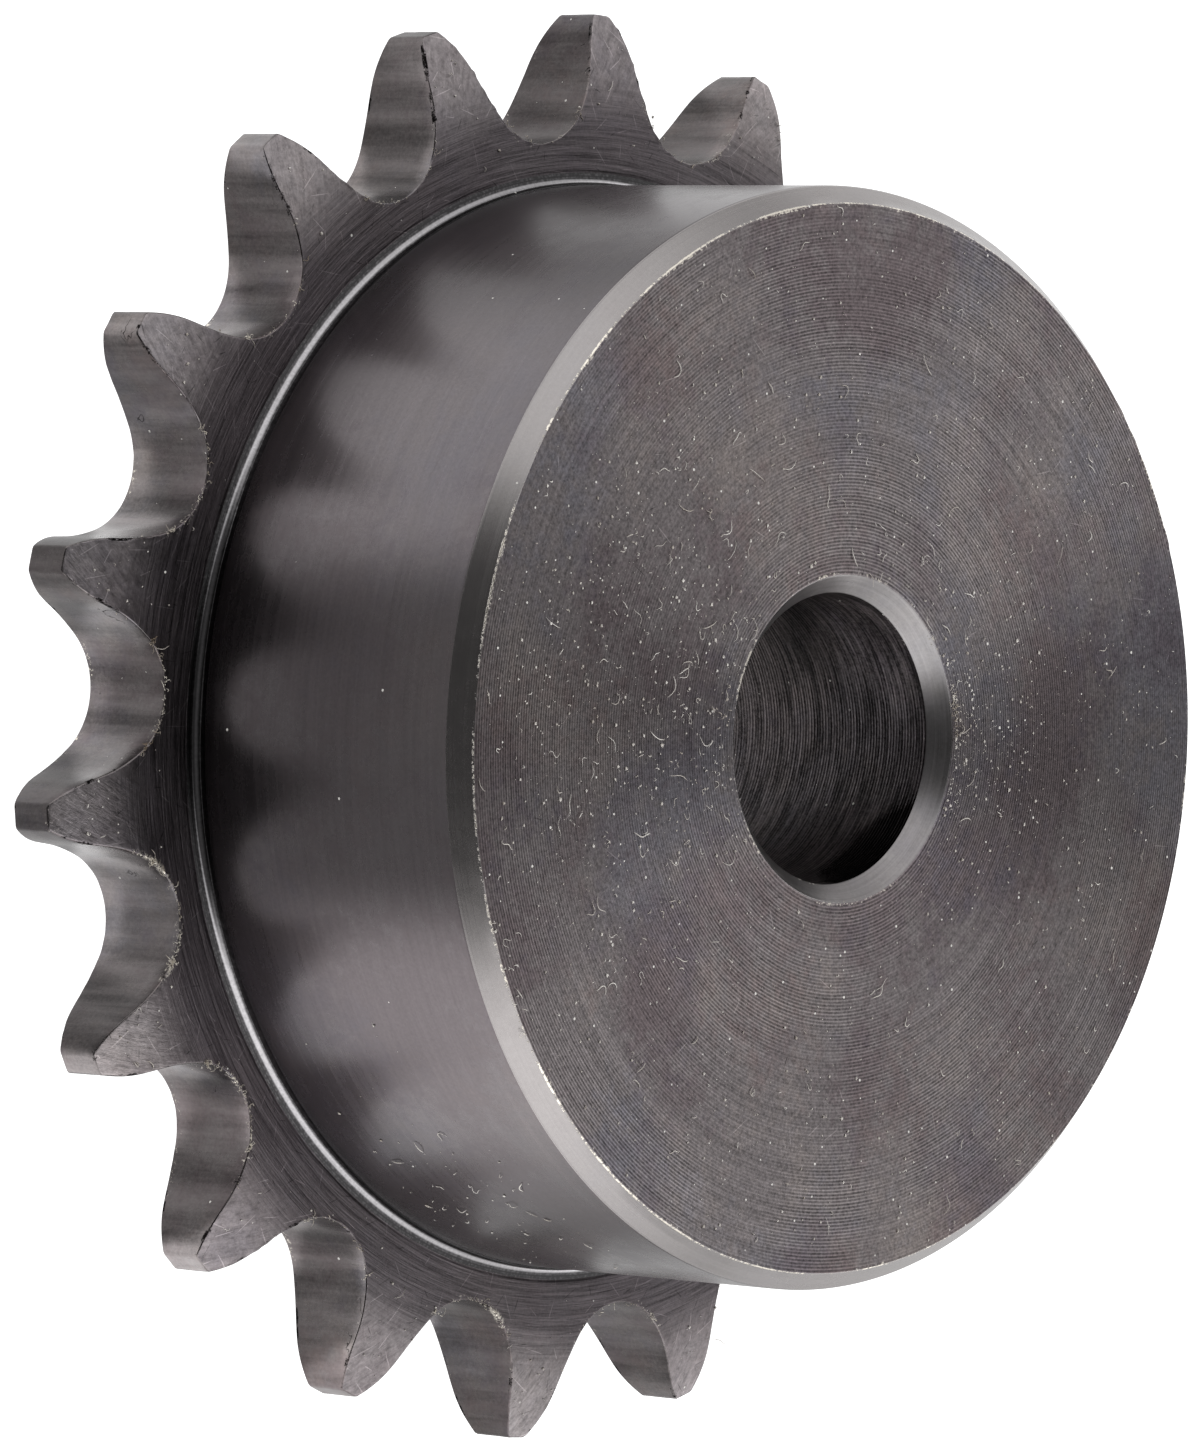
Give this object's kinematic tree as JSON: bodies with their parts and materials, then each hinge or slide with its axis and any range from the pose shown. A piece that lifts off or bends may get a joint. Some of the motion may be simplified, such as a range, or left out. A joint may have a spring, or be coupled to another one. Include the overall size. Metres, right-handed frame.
{
  "type": "chain sprocket",
  "caption": "Toothed wheel with a hub on one side and a plain bore, which carries a roller chain on a shaft.",
  "frame": {"origin": "centre of the bore at the toothed plate's plain face, which the part rests on", "axes": "+Z along the bore from the plate towards the hub, +X through the middle of one tooth"},
  "size_m": [0.0796, 0.0786, 0.0255],
  "materials": {
    "black_steel": "black oxide over turned and cut steel, satin, with fine turning marks"
  },
  "bodies": {
    "root": {"sprocket": "black_steel"}
  },
  "joints": []
}
